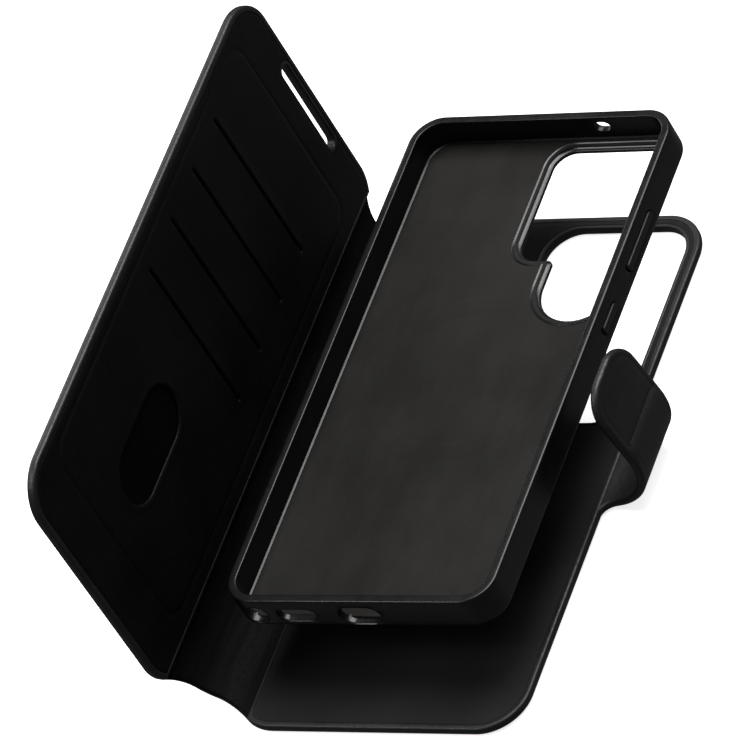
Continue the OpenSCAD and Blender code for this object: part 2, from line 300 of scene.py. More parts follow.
def wanted(flat, tris, loops, where):
    """Which triangles belong to the face. Each region between its rims is kept or left whole."""
    walls = rim_sides(loops, where)
    beside = {}
    for number, triangle in enumerate(tris):
        for side in sides(triangle):
            beside.setdefault(side, []).append(number)
    ab, ac = flat[tris[:, 1]] - flat[tris[:, 0]], flat[tris[:, 2]] - flat[tris[:, 0]]
    area = np.abs(ab[:, 0] * ac[:, 1] - ab[:, 1] * ac[:, 0])
    middle = flat[tris].mean(1)
    good = inside(middle, loops[0][0])
    for points, kind in loops[1:]:
        if kind == "hole":
            good &= ~inside(middle, points)
    keep, seen = np.zeros(len(tris), bool), np.zeros(len(tris), bool)
    for seed in np.argsort(-area):
        if not seen[seed]:
            keep[region_of(seed, tris, beside, walls, seen)] = good[seed]
    return keep


def slab_sides(outlines, profile, hole_profile, step, blocks):
    """The rounded sides of a sheet. Returns each outline's rings and its two rims, and the faces."""
    rims, faces, total = [], [], 0
    for number, (corners, grow) in enumerate(outlines):
        way = -1 if number == 0 else 1
        rings = []
        for inset, height in (profile if number == 0 else hole_profile or profile):
            flat = outline(corners, grow + way * inset, step)
            rings.append(np.arange(total, total + len(flat)))
            blocks.append(np.column_stack([flat, np.full(len(flat), height)]))
            total += len(flat)
        for a, b in zip(rings, rings[1:]):
            faces += quads(a, b)
        rims.append((rings, blocks[-len(rings)][:, :2], blocks[-1][:, :2]))
    return rims, faces


def slab_face(rims, end, relief, height, lines, cell, blocks):
    """The lower (end 0) or upper (end -1) face of a sheet."""
    loops = [(rim[1] if end == 0 else rim[2], "hole" if i else "edge") for i, rim in enumerate(rims)]
    flat, tris, where = fill(loops + list(lines), cell)
    number = np.full(len(flat), -1)
    for k, point_id in enumerate(np.concatenate([rim[0][end] for rim in rims])):
        number[where[k]] = point_id
    new = number < 0
    total = sum(len(block) for block in blocks)
    number[new] = np.arange(total, total + new.sum())
    z = np.full(int(new.sum()), float(height))
    if relief is not None:
        z += relief(flat[new, 0], flat[new, 1])
    blocks.append(np.column_stack([flat[new], z]))
    return [tuple(int(number[k]) for k in t) for t in tris]


def slab(name, outer, place, profile, holes=(), lines=(), top=None, bottom=None,
         cell=2.0, step=STEP, hole_profile=None):
    """A closed sheet with shaped edges. place maps (u, v, height) to the frame.

    outer and holes are (corners, grow). lines are extra (points, kind) drawn in both faces.
    top and bottom give the relief of each face at (u, v)."""
    blocks = []
    rims, faces = slab_sides([outer, *holes], profile, hole_profile, step, blocks)
    faces += slab_face(rims, 0, bottom, profile[0][1], lines, cell, blocks)
    faces += slab_face(rims, -1, top, profile[-1][1], lines, cell, blocks)
    points = place(np.concatenate(blocks))
    return new_object(name, points, [tuple(int(k) for k in f) for f in faces])


def swept(name, corners, section, place, step=STEP, sharp=SHARP):
    """A closed section, as (grow, height) points, carried round an outline."""
    blocks, rings, total = [], [], 0
    for grow, height in section:
        flat = outline(corners, grow, step)
        rings.append(range(total, total + len(flat)))
        blocks.append(np.column_stack([flat, np.full(len(flat), height)]))
        total += len(flat)
    faces = []
    for k in range(len(rings)):
        faces += quads(rings[k], rings[(k + 1) % len(rings)])
    return new_object(name, place(np.concatenate(blocks)), faces, sharp)


def cut(obj, cutters):
    """Takes the cutters out of obj and removes them."""
    for cutter in cutters:
        change = obj.modifiers.new("cut", "BOOLEAN")
        change.operation = "DIFFERENCE"
        change.solver = "EXACT"
        change.object = cutter
    bpy.context.view_layer.update()
    graph = bpy.context.evaluated_depsgraph_get()
    mesh = bpy.data.meshes.new_from_object(obj.evaluated_get(graph))
    obj.modifiers.clear()
    obj.data = mesh
    for cutter in cutters:
        bpy.data.objects.remove(cutter)
    mesh.shade_smooth()
    mesh.set_sharp_from_angle(angle=math.radians(SHARP))
    return obj


# ---------------------------------------------------------------- places in the frame


def place_panel(p):
    return np.column_stack([p[:, 0] + PANEL_LOW.x, p[:, 1], p[:, 2] + PANEL_LOW.z])


def place_cover(p):
    return np.column_stack([p[:, 2] + COVER_LOW.x, p[:, 1], p[:, 0] + COVER_LOW.z])


def place_case(p):
    return np.column_stack([p[:, 0] + CASE_X, p[:, 1] + CASE_Y, p[:, 2] + CASE_Z])


def place_strap(p):
    """First axis: the way along the strap from its root. Third: from its outer face in."""
    s = p[:, 0]
    bend_l, tab_l = BEND_R * BEND_TURN, TAB_R * TAB_TURN
    flat_l = BEND_X - PANEL_HIGH.x
    a1 = np.clip((s - flat_l) / BEND_R, 0, BEND_TURN)
    a2 = np.clip((s - flat_l - bend_l) / TAB_R, 0, TAB_TURN)
    angle = a1 + a2
    x = PANEL_HIGH.x + np.minimum(s, flat_l) + BEND_R * np.sin(a1)
    z = ROOT_Z + BEND_R * (1 - np.cos(a1))
    x = x + TAB_R * (np.sin(BEND_TURN + a2) - math.sin(BEND_TURN))
    z = z + TAB_R * (math.cos(BEND_TURN) - np.cos(BEND_TURN + a2))
    rest = np.maximum(s - flat_l - bend_l - tab_l, 0)
    x = x + rest * np.cos(angle)
    z = z + rest * np.sin(angle)
    off = STRAP_T / 2 - p[:, 2]
    return np.column_stack([x + off * np.sin(angle), p[:, 1], z - off * np.cos(angle)])


STRAP_L = BEND_X - PANEL_HIGH.x + BEND_R * BEND_TURN + TAB_R * TAB_TURN + TAB_L
CREASE_S = BEND_X - PANEL_HIGH.x + BEND_R * BEND_TURN

# ---------------------------------------------------------------- materials


class Shader:
    """A small helper that adds nodes to one material."""

    def __init__(self, name):
        self.material = bpy.data.materials.new(name)
        self.material.use_nodes = True
        self.tree = self.material.node_tree
        self.surface = self.tree.nodes["Principled BSDF"]
        self.where = self.add("ShaderNodeTexCoord").outputs["Object"]

    def add(self, kind, inputs=(), **settings):
        node = self.tree.nodes.new(kind)
        for key, value in settings.items():
            setattr(node, key, value)
        for key, value in dict(inputs).items():
            if isinstance(value, bpy.types.NodeSocket):
                self.tree.links.new(value, node.inputs[key])
            else:
                node.inputs[key].default_value = value
        return node

    def link(self, value, socket):
        self.tree.links.new(value, self.surface.inputs[socket])

    def noise(self, scale, detail=3.0, rough=0.5, stretch=None):
        where = self.where
        if stretch is not None:
            where = self.add("ShaderNodeMapping", {"Vector": where, "Scale": stretch}).outputs[0]
        given = {"Vector": where, "Scale": scale, "Detail": detail, "Roughness": rough}
        return self.add("ShaderNodeTexNoise", given).outputs["Fac"]

    def cells(self, scale, feature="F1"):
        given = {"Vector": self.where, "Scale": scale}
        return self.add("ShaderNodeTexVoronoi", given, feature=feature).outputs["Distance"]

    def ramp(self, value, low, high, stops=(0.3, 0.7)):
        node = self.add("ShaderNodeMapRange", {"Value": value, "From Min": stops[0],
                                               "From Max": stops[1], "To Min": low,
                                               "To Max": high})
        return node.outputs[0]

    def colours(self, value, low, high, stops=(0.3, 0.7)):
        node = self.add("ShaderNodeValToRGB", {"Fac": value})
        for stop, place, colour in zip(node.color_ramp.elements, stops, (low, high)):
            stop.position = place
            stop.color = (*colour, 1)
        return node.outputs[0]

    def math(self, kind, a, b):
        return self.add("ShaderNodeMath", {0: a, 1: b}, operation=kind).outputs[0]

    def bump(self, layers):
        """Layers of (height, strength, distance in metres), each on top of the last."""
        normal = None
        for height, strength, distance in layers:
            given = {"Height": height, "Strength": strength, "Distance": distance}
            if normal is not None:
                given["Normal"] = normal
            normal = self.add("ShaderNodeBump", given).outputs[0]
        self.link(normal, "Normal")

    def set(self, **sockets):
        for key, value in sockets.items():
            self.surface.inputs[key.replace("_", " ")].default_value = value


def leather(name, dark, light, gloss=(0.36, 0.50), grain=0.35, specular=0.35):
    """Fine-grained black leather: pebbles of about half a millimetre."""
    s = Shader(name)
    pebbles = s.cells(1500, "SMOOTH_F1")
    hide = s.cells(620, "SMOOTH_F1")
    wrinkles = s.noise(420, 4, 0.6)
    clouds = s.noise(38, 3, 0.55)
    tone = s.math("ADD", s.math("MULTIPLY", clouds, 0.7), s.math("MULTIPLY", wrinkles, 0.3))
    s.link(s.colours(tone, dark, light, (0.38, 0.64)), "Base Color")
    s.link(s.ramp(s.math("ADD", s.math("MULTIPLY", clouds, 0.5),
                         s.math("MULTIPLY", pebbles, 0.5)), *gloss), "Roughness")
    s.bump([(s.noise(90, 2, 0.5), 0.25, 0.00012), (hide, 0.7 * grain, 0.00010),
            (wrinkles, 0.30, 0.00005), (pebbles, grain, 0.00007)])
    s.set(Specular_IOR_Level=specular)
    return s.material


def microfibre(name, dark, light, sheen=0.25, stops=(0.38, 0.62)):
    """Short-nap microfibre, brushed unevenly, with a soft sheen."""
    s = Shader(name)
    nap = s.noise(2600, 3, 0.7)
    strokes = s.noise(120, 4, 0.6, (1.0, 0.35, 1.0))
    patches = s.noise(26, 3, 0.5)
    tone = s.math("ADD", s.math("MULTIPLY", patches, 0.55), s.math("MULTIPLY", strokes, 0.45))
    tone = s.math("ADD", s.math("MULTIPLY", tone, 0.8), s.math("MULTIPLY", nap, 0.2))
    s.link(s.colours(tone, dark, light, stops), "Base Color")
    s.link(s.ramp(strokes, 0.82, 0.96), "Roughness")
    s.bump([(strokes, 0.20, 0.00010), (nap, 0.55, 0.00008)])
    s.set(Specular_IOR_Level=0.2, Sheen_Weight=sheen, Sheen_Roughness=0.45)
    s.set(Sheen_Tint=(0.95, 0.93, 0.90, 1))
    return s.material


def moulded(name, dark, light, gloss=(0.34, 0.46), texture=0.12, specular=0.45):
    """Soft moulded plastic with a fine spark-eroded texture."""
    s = Shader(name)
    fine = s.noise(3200, 2, 0.6)
    flow = s.noise(60, 3, 0.5)
    rub = s.noise(240, 4, 0.65)
    s.link(s.colours(flow, dark, light), "Base Color")
    s.link(s.ramp(s.math("ADD", s.math("MULTIPLY", flow, 0.4), s.math("MULTIPLY", rub, 0.6)),
                  *gloss), "Roughness")
    s.bump([(flow, 0.08, 0.0002), (fine, texture, 0.00004)])
    s.set(Specular_IOR_Level=specular)
    return s.material


def plated(name, colour, rough):
    """Nickel plate on a magnet or thin steel sheet."""
    s = Shader(name)
    brushed = s.noise(900, 3, 0.6, (1.0, 0.06, 1.0))
    s.link(s.colours(brushed, tuple(0.8 * c for c in colour), colour), "Base Color")
    s.link(s.ramp(brushed, rough - 0.08, rough + 0.1), "Roughness")
    s.bump([(brushed, 0.15, 0.00002)])
    s.set(Metallic=1.0)
    return s.material


def fibre_board(name):
    s = Shader(name)
    fibres = s.noise(700, 5, 0.7, (1.0, 0.3, 1.0))
    s.link(s.colours(fibres, (0.16, 0.14, 0.12), (0.30, 0.27, 0.23)), "Base Color")
    s.link(s.ramp(fibres, 0.75, 0.95), "Roughness")
    s.bump([(fibres, 0.3, 0.00006)])
    return s.material


def woven(name, dark, light):
    """Thin plain-woven lining cloth."""
    s = Shader(name)
    given = {"Vector": s.where, "Scale": 700.0, "Distortion": 0.6}
    warp, weft = (s.add("ShaderNodeTexWave", given, bands_direction=way).outputs["Fac"]
                  for way in "YZ")
    weave = s.math("MULTIPLY", warp, weft)
    s.link(s.colours(weave, dark, light, (0.1, 0.9)), "Base Color")
    s.link(s.ramp(s.noise(80), 0.6, 0.8), "Roughness")
    s.bump([(weave, 0.4, 0.0001)])
    return s.material


LEATHER = leather("leather", (0.0085, 0.0085, 0.0090), (0.0175, 0.0175, 0.0183),
                  (0.38, 0.54), 0.6, 0.5)
# The cover's inner leather: its smoother, less glossy grain is its own, but its darker base is
# painted shade on the cover's upright inner face, which the case shadows.
INNER_SHADED = leather("inner_leather", (0.0028, 0.0028, 0.0031), (0.0052, 0.0052, 0.0056),
                (0.42, 0.56), 0.25, 0.20)
# The spine's inner leather: its low gloss is its own, but its near-black base is painted shade in the
# spine's valley.
SPINE_INNER_SHADED = leather("spine_inner_painted_shade", (0.0014, 0.0014, 0.0016), (0.0032, 0.0032, 0.0035),
                      (0.56, 0.70), 0.25, 0.09)
LINING = microfibre("panel_microfibre", (0.0090, 0.0090, 0.0092), (0.0170, 0.0168, 0.0165))
FLOOR_LINING = microfibre("case_microfibre", (0.0072, 0.0067, 0.0060),
                          (0.0178, 0.0171, 0.0160), 0.15, (0.41, 0.59))
# Near-black leather for the lowest card pocket, seen through the thumb window: painted shade in that
# recess.
POCKET_SHADED = leather("pocket_leather_painted_shade", (0.0012, 0.0012, 0.0013), (0.0024, 0.0024, 0.0026),
                 (0.6, 0.7), 0.2, 0.08)
SHELL = moulded("soft_shell", (0.0030, 0.0030, 0.0032), (0.0054, 0.0054, 0.0058),
                (0.24, 0.34), 0.10, 0.42)
POLISHED = moulded("polished_bezel", (0.0050, 0.0050, 0.0053), (0.0080, 0.0080, 0.0085),
                   (0.20, 0.27), 0.05, 0.6)
PLATE = moulded("hard_back", (0.0070, 0.0070, 0.0074), (0.0110, 0.0110, 0.0115),
                (0.40, 0.52), 0.2)
NICKEL = plated("nickel_plate", (0.62, 0.61, 0.58), 0.28)
STEEL = plated("steel_sheet", (0.55, 0.56, 0.58), 0.36)
BOARD = fibre_board("fibre_board")
DIVIDER = woven("divider_cloth", (0.004, 0.004, 0.0045), (0.010, 0.010, 0.011))


def finish_piece(obj, material, body, slot, *nodes):
    """Gives a piece its material and its body, and hides the CAD nodes it stands for. The slot is not
    used.
    """
    obj.data.materials.clear()
    obj.data.materials.append(material)
    if body is not None:
        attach(obj, body)
    if nodes:
        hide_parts(*nodes)
    return obj


def dress_hidden_nodes():
    """The sealed inner pieces keep their CAD shapes and get real finishes."""
    dressed = {"back_board": BOARD, "cover_board": BOARD, "strap_board": BOARD,
               "back_magnet_ring": NICKEL, "back_align_magnet": NICKEL,
               "case_magnet_ring": NICKEL, "case_align_magnet": NICKEL,
               "strap_magnets": NICKEL, "clasp_plate": STEEL,
               "card_divider_1": DIVIDER, "card_divider_2": DIVIDER}
    for name, material in dressed.items():
        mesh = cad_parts[name].data
        mesh.materials.clear()
        mesh.materials.append(material)


# ---------------------------------------------------------------- the two leaves

BEAD = 1.55             # width of the leather turned over round a leaf
SUNK = 0.3              # how far the leather lies below it, under the inner sheets
POCKET_DEPTH = 1.1      # how far the cover's leather lies below it, under the pockets
PROUD = 0.08            # how far the turned leather stands above the inner sheets
INNER_IN = 1.80         # where an inner sheet starts, from the leaf's edge
WINDOW = rect_corners(35.1, 79.2, 14.7, 82.5, 9.5)
EAR_SLOT = stadium_corners(38.7, 81.7, 33.9, 4.4)
SLIT_A, SLIT_L, SLIT_GAP = 45.0, 55.5, 0.85
SLIT_YS = (48.1, 30.9, 13.7, -3.5)
THUMB = [(44.4, -31.25, 8.95, 0, 180), (44.4, -48.75, 8.95, 180, 360)]
BORDER = (6.0, 78.3, -69.9, 71.5)
PANEL_LINE_A = 4.6
GROOVE_STEPS = (-0.7, -0.35, 0, 0.35, 0.7)


def leaf_profile(t, sunk):
    """A turned edge: round outside, then a low step down to the inner face."""
    return round_edge(t, 0.7, 5, EDGE_R) + [(BEAD, t), (BEAD + 0.12, t - 0.06),
                                            (BEAD + 0.20, t - sunk)]


def hole_edge(t, sunk):
    return round_edge(t, 0.4, 4, 0.5) + [(0.9, t), (1.0, t - 0.06), (1.06, t - sunk)]


def outer_leather(x, y):
    """The outside of a leaf: padded a little, and slightly uneven."""
    edge = -rect_distance(x, y, (0, LEAF_W, -LEAF_HALF, LEAF_HALF), LEAF_R)
    soft = 0.07 * ripple(x, y, 21, 1.3) + 0.03 * ripple(x, y, 7, 4.1)
    return soft * smooth(edge / 6)


def sheet_relief(x, y):
    edge = -rect_distance(x, y, (0, LEAF_W, -LEAF_HALF, LEAF_HALF), LEAF_R)
    return (0.05 * ripple(x, y, 24, 7.7) + 0.02 * ripple(x, y, 8, 2.9)) * smooth(edge / 8)


def sheet_edge(t, r=0.3):
    return [(0.0, 0.0), (0.0, t - r)] + [(r * (1 - math.cos(a)), t - r + r * math.sin(a))
                                         for a in np.linspace(0.35, math.pi / 2, 4)]


def panel_lines():
    ys = np.arange(-79, 79.5, 1.6)
    return [(np.column_stack([np.full(len(ys), PANEL_LINE_A + g), ys]), "open")
            for g in GROOVE_STEPS]


def panel_relief(x, y):
    """The panel's inner face, with a pressed line along its spine edge."""
    pressed = np.exp(-(((x - PANEL_LINE_A) / 0.42) ** 2)) * smooth((79 - np.abs(y)) / 3)
    return sheet_relief(x, y) - 0.16 * pressed


def lifted(place, height):
    return lambda p: place(p + np.array([0, 0, height]))


def back_panel():
    body = slab("back_leather", (leaf_corners(), 0), place_panel, leaf_profile(LEAF_T, SUNK),
                holes=[(WINDOW, 0)], bottom=outer_leather, cell=1.8,
                hole_profile=hole_edge(LEAF_T, SUNK))
    finish_piece(body, LEATHER, "back_panel", "leather", "back_skin")
    sheet = slab("back_inner_sheet", (leaf_corners(), -INNER_IN),
                 lifted(place_panel, LEAF_T - PROUD - 0.35), sheet_edge(0.35, 0.12),
                 holes=[(WINDOW, 1.12)], lines=panel_lines(), top=panel_relief, cell=1.6)
    finish_piece(sheet, LINING, "back_panel", "microfibre", "back_lining")


def slit_corners(y, grow=0.0):
    half = SLIT_L / 2 + grow
    wide = SLIT_GAP / 2 + grow
    return rect_corners(SLIT_A - half, SLIT_A + half, y - wide, y + wide, wide * 0.9)


def cover_relief(x, y):
    """The cover's inner face: card pockets, their lips, and the embossed border."""
    border = rect_distance(x, y, BORDER, 7)
    height = sheet_relief(x, y)
    height -= 0.20 * np.exp(-((border / 0.42) ** 2))
    height += 0.10 * smooth((0.4 - border) / 1.2)
    for k, slit in enumerate(SLIT_YS):
        along = smooth((SLIT_L / 2 + 1 - np.abs(x - SLIT_A)) / 5)
        above, below = y - slit, slit - y
        height += along * 0.16 * np.exp(-((above - 0.5) / 1.6) ** 2) * (above > 0)
        height += along * 0.30 * np.exp(-(np.maximum(below - 0.3, 0) / 4.5) ** 2) * (below > 0)
    thumb = stadium_distance(x, y)
    height += 0.12 * np.exp(-((thumb - 0.9) / 0.9) ** 2)
    return height


def stadium_distance(x, y):
    """Distance outside the thumb window."""
    return np.hypot(x - 44.4, np.maximum(np.abs(y + 40) - 8.75, 0)) - 8.95


def front_cover():
    edge = leaf_profile(LEAF_T, POCKET_DEPTH)
    body = slab("cover_leather", (leaf_corners(), 0), place_cover, edge,
                holes=[(EAR_SLOT, -0.35)], bottom=outer_leather, cell=1.8,
                hole_profile=hole_edge(LEAF_T, POCKET_DEPTH))
    finish_piece(body, LEATHER, "front_cover", "leather", "cover_skin")
    lip = [(0.0, 0.0), (0.0, 0.20), (0.04, 0.30), (0.14, 0.36)]
    holes = [(EAR_SLOT, 0.5)] + [(slit_corners(y), 0) for y in SLIT_YS] + [(THUMB, 0)]
    lines = [(outline(rect_corners(*BORDER, 7), g), "line") for g in GROOVE_STEPS]
    lines += [(outline(slit_corners(y), g, 1.5), "line") for y in SLIT_YS for g in (0.4, 1.2)]
    lines += [(outline(THUMB, g), "line") for g in (0.5, 1.0, 1.8)]
    sheet = slab("card_pocket_sheet", (leaf_corners(), -INNER_IN),
                 lifted(place_cover, LEAF_T - PROUD - 0.36), lip, holes=holes,
                 lines=lines, top=cover_relief, cell=1.5)
    # The card pocket sheet's darker leather is partly painted shade on the cover's inner face.
    finish_piece(sheet, INNER_SHADED, "front_cover", "leather_inner", "cover_lining")
    pocket = slab("lowest_card_pocket", (rect_corners(15, 75, -80.5, 16.7, 1), 0),
                  lifted(place_cover, 1.72), sheet_edge(0.2, 0.08),
                  top=lambda x, y: 0.06 * ripple(x, y, 9, 5.5), cell=1.6)
    # The lowest pocket's near-black leather is painted shade in the thumb window's recess.
    finish_piece(pocket, POCKET_SHADED, "front_cover", "divider", "card_divider_3", "card_divider_4")


# ---------------------------------------------------------------- the spine

SPINE_RUN = 2.6         # the spine's leather runs on into both leaves
SPINE_ARC = SPINE_R * math.pi / 2
SWEEP_IN = 12.0         # length over which its ends draw in from the leaves' corners


def spine_half(s):
    """Half-length of the spine at a way s along its outer arc."""
    wide = LEAF_HALF - LEAF_R + math.sqrt(LEAF_R ** 2 - (LEAF_R - CORNER_RUN) ** 2) - 0.03
    t = min(max(min(s, SPINE_ARC - s) / SWEEP_IN, 0), 1)
    slope = -0.78 * SWEEP_IN
    return (wide * (2 * t ** 3 - 3 * t ** 2 + 1) + slope * (t ** 3 - 2 * t ** 2 + t)
            + SPINE_HALF * (3 * t ** 2 - 2 * t ** 3))


def around_spine(s, y, h):
    """A point on the spine, which runs straight on inside each leaf."""
    if s < 0:
        return SPINE_X - s, y, h
    if s > SPINE_ARC:
        return SPINE_X - SPINE_R + h, y, SPINE_R + s - SPINE_ARC
    a, r = s / SPINE_R, SPINE_R - h
    return SPINE_X - r * math.sin(a), y, SPINE_R - r * math.cos(a)


def spine_section(s):
    """Points (y, height) round the spine's section, with soft folds along its length."""
    half, r = spine_half(s), 0.8
    ys = np.linspace(-half + r, half - r, 80)
    inner = 0.0 if 0 < s < SPINE_ARC else 0.02
    bend = np.linspace(-math.pi / 2, math.pi / 2, 7)
    fade = smooth(np.array([s / 2.0, (SPINE_ARC - s) / 2.0])).min()
    fold = [0.07 * fade * noise.noise(Vector((s / 1.9, y / 26, 3.3))) for y in ys]
    low = [(y, inner + f) for y, f in zip(ys, fold)]
    right = [(half - r + r * math.cos(a), SPINE_T / 2 + SPINE_T / 2 * math.sin(a)) for a in bend]
    high = [(y, SPINE_T - 1.6 * f) for y, f in zip(ys[::-1], fold[::-1])]
    left = [(-y, h) for y, h in right[::-1]]
    return low + right[1:-1] + high + left[1:-1]


def spine_piece(name, start, end, nodes):
    count = math.ceil((end - start) / 0.6)
    rings, points = [], []
    for s in np.linspace(start, end, count + 1):
        section = spine_section(s)
        rings.append(tuple(range(len(points), len(points) + len(section))))
        points += [around_spine(s, y, h) for y, h in section]
    faces = [rings[0], rings[-1]]
    for a, b in zip(rings, rings[1:]):
        faces += quads(a, b)
    obj = new_object(name, points, faces)
    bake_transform(obj)
    finish_piece(obj, LEATHER, None, "leather", *nodes)
    # Faces on the inside of the spine's bend get the darker leather, as painted shade in the spine's
    # valley.
    obj.data.materials.append(SPINE_INNER_SHADED)
    for face in obj.data.polygons:
        c = face.center / MM
        radius = math.hypot(min(c.x - SPINE_X, 0), min(c.z - SPINE_R, 0))
        face.material_index = int(radius < SPINE_R - 0.8 * SPINE_T)


def spine():
    spine_piece("spine_leather_back", -SPINE_RUN, SPINE_ARC / 2,
                ["spine_skin"])
    spine_piece("spine_leather_front", SPINE_ARC / 2, SPINE_ARC + SPINE_RUN,
                ["spine_lining"])


# ---------------------------------------------------------------- the strap

ROOT_RUN = 3.0
LAP = 3.0               # the neck and the tab lap over each other at the fold
SHOULDER = (CREASE_S + 4.5, CREASE_S + 11.5)


def tab_corners(low):
    high, wide, r = STRAP_L, STRAP_HALF, 9.0
    return [(high - r, r - wide, r, -90, 0), (high - r, wide - r, r, 0, 90),
            (low + 1.3, wide - 1.3, 1.3, 90, 180), (low + 1.3, 1.3 - wide, 1.3, 180, 270)]


def strap_border(x, y):
    """Signed distance to the strap's edge, below zero inside."""
    return rect_distance(x, y, (-40, STRAP_L, -STRAP_HALF, STRAP_HALF), 9)


def strap_outer(x, y):
    edge = strap_border(x, y)
    height = 0.16 * np.exp(-((edge + 2.1) / 0.38) ** 2)
    height += 0.32 * np.exp(-((x - SHOULDER[1]) / 0.55) ** 2) * smooth(-edge / 1.5)
    swell = smooth((x - SHOULDER[0]) / 3.5) * smooth((SHOULDER[1] - x) / 2.2)
    height -= 0.45 * swell * smooth(-edge / 3)
    return height + 0.05 * ripple(x, y, 11, 6.2) * smooth(-edge / 3)


def strap_inner(x, y):
    edge = strap_border(x, y)
    return (0.05 * ripple(x, y, 10, 8.8)) * smooth(-edge / 3)


def strap_line(corners, low, inset):
    """A line along the tab's two sides and its tip."""
    ring = outline(corners, -inset, 1.2)
    along = ring[:, 0] > low + 3
    gap = int(np.argmin(along))
    return np.concatenate([ring[gap:][along[gap:]], ring[:gap]])


def strap():
    low = CREASE_S - LAP
    tab = slab("strap_tab_leather", (tab_corners(low), 0), place_strap,
               round_edge(STRAP_T, 0.9, 5, 1.1), bottom=strap_outer, top=strap_inner,
               lines=[(strap_line(tab_corners(low), low, g), "open") for g in (1.5, 1.8, 2.1, 2.4)],
               cell=0.8, step=0.8)
    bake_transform(tab)
    finish_piece(tab, LEATHER, None, "leather", "strap_tab_skin", "strap_tab_lining")

    thin = 0.03
    wide, end_s, f = STRAP_HALF - thin, CREASE_S - 0.4, 4.0
    corners = [(end_s - 1.3, 1.3 - wide, 1.3, -90, 0), (end_s - 1.3, wide - 1.3, 1.3, 0, 90),
               (f, wide + f, f, 270, 180), (-ROOT_RUN + 1.3, wide + f, 1.3, 90, 180),
               (-ROOT_RUN + 1.3, -wide - f, 1.3, 180, 270), (f, -wide - f, f, 180, 90)]
    neck = slab("strap_neck_leather", (corners, 0), lifted(place_strap, thin),
                round_edge(STRAP_T - 2 * thin, 0.9, 5, 1.1), bottom=strap_inner,
                top=strap_inner, cell=0.8, step=0.8)
    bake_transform(neck)
    finish_piece(neck, LEATHER, None, "leather", "strap_neck_skin", "strap_neck_lining")


# ---------------------------------------------------------------- the phone case

HOLE = [(25.05, 29.85, 11.95, 180, 360), (31, 71.5, 6, 0, 90), (7.5, 71.5, 6, 90, 180),
        (7.5, 45, 6, 180, 270), (11.6, 37.5, 1.5, 90, 0)]
RIM_LIP = 0.5
PORT_Z = 4.6
BUTTON_Z = 5.1
RING = (0.0, -2.0, 23.0, 28.0)
ALIGN = (-3.0, 3.0, -53.5, -38.5)


def case_corners(inset=0.0):
    x, y = CASE_W / 2 - inset, CASE_L / 2 - inset
    return rect_corners(-x, x, -y, y, CASE_R - inset)


def arc(x, y, r, start, end, count=5):
    return [(x + r * math.cos(a), y + r * math.sin(a))
            for a in np.radians(np.linspace(start, end, count))]


def wall_section():
    """Section of the bumper's wall, as (grow from the outer face, height)."""
    lip = -(WALL + RIM_LIP)
    loop = [(-WALL, 0.25), (-WALL + 0.2, 0.02)]
    loop += arc(-1.5, 1.5, 1.5, 270, 360, 8)
    loop += [(0.0, z) for z in (3.4, 5.4, 7.4)]
    loop += arc(-0.62, CASE_H - 0.62, 0.62, 0, 90, 6)
    loop += [(-1.3, CASE_H), (lip + 0.62, CASE_H - 0.01)]
    loop += arc(lip + 0.34, CASE_H - 0.35, 0.34, 90, 180, 5)
    loop += arc(lip + 0.2, CASE_H - 0.68, 0.2, 180, 250, 3)
    loop += [(-WALL - 0.03, CASE_H - 0.95), (-WALL, CASE_H - 1.2)]
    loop += [(-WALL, z) for z in (7.2, 5.2, 3.2)]
    loop += [(-WALL - 0.03, FLOOR_Z + 0.60), (-WALL - 0.10, FLOOR_Z + 0.35)]
    loop += [(-WALL - 0.62, FLOOR_Z + 0.13), (-WALL - 0.70, FLOOR_Z - 0.02)]
    loop += [(-WALL - 0.70, BACK_Z + 0.1)]
    loop += [(-WALL, BACK_Z + 0.05)]
    return loop


def wall_place(side):
    """Places a cutter on a wall: along it, up it, and out from its inner face."""
    def place(p):
        along, up, out = p[:, 0], p[:, 1] + CASE_Z, p[:, 2]
        if side == "bottom":
            return np.column_stack([along, CASE_Y - CASE_L / 2 + WALL - out, up])
        if side == "top":
            return np.column_stack([along, CASE_Y + CASE_L / 2 - WALL + out, up])
        return np.column_stack([CASE_X + CASE_W / 2 - WALL + out, along + CASE_Y, up])
    return place


def opening(side, at, up, length, width, flare=0.45):
    """A cutter for a slot with round ends and a flared, softened mouth."""
    profile = [(0.0, -1.5), (0.0, WALL - 0.75)]
    profile += [(-flare * (1 - math.cos(a)), WALL - 0.75 + 0.75 * math.sin(a))
                for a in np.linspace(0.3, math.pi / 2, 4)]
    profile += [(-flare, WALL + 1.5)]
    return slab("cutter", (stadium_corners(at, up, length, width), 0), wall_place(side),
                profile, cell=3)


def bumper():
    wall = swept("case_bumper_shell", case_corners(), wall_section(), place_case, 3.0)
    cutters = [opening("bottom", 0, PORT_Z, 12.4, 6.6), opening("bottom", -19.3, PORT_Z, 11.7, 4.6),
               opening("bottom", -32, PORT_Z, 7, 6), opening("top", 16.2, 6.5, 5, 3.6, 0.3)]
    for at, length in ((41.6, 20), (15.1, 10)):
        cutters.append(opening("right", at, BUTTON_Z, length + 0.5, 3.1, 0.3))
        recess = stadium_corners(at, BUTTON_Z, length + 1.7, 4.3)
        cutters.append(slab("cutter", (recess, 0), wall_place("right"),
                            [(0.0, -1.0), (0.0, 1.15)], cell=3))
    cut(wall, cutters)
    finish_piece(wall, SHELL, "case", "shell", "case_bumper")


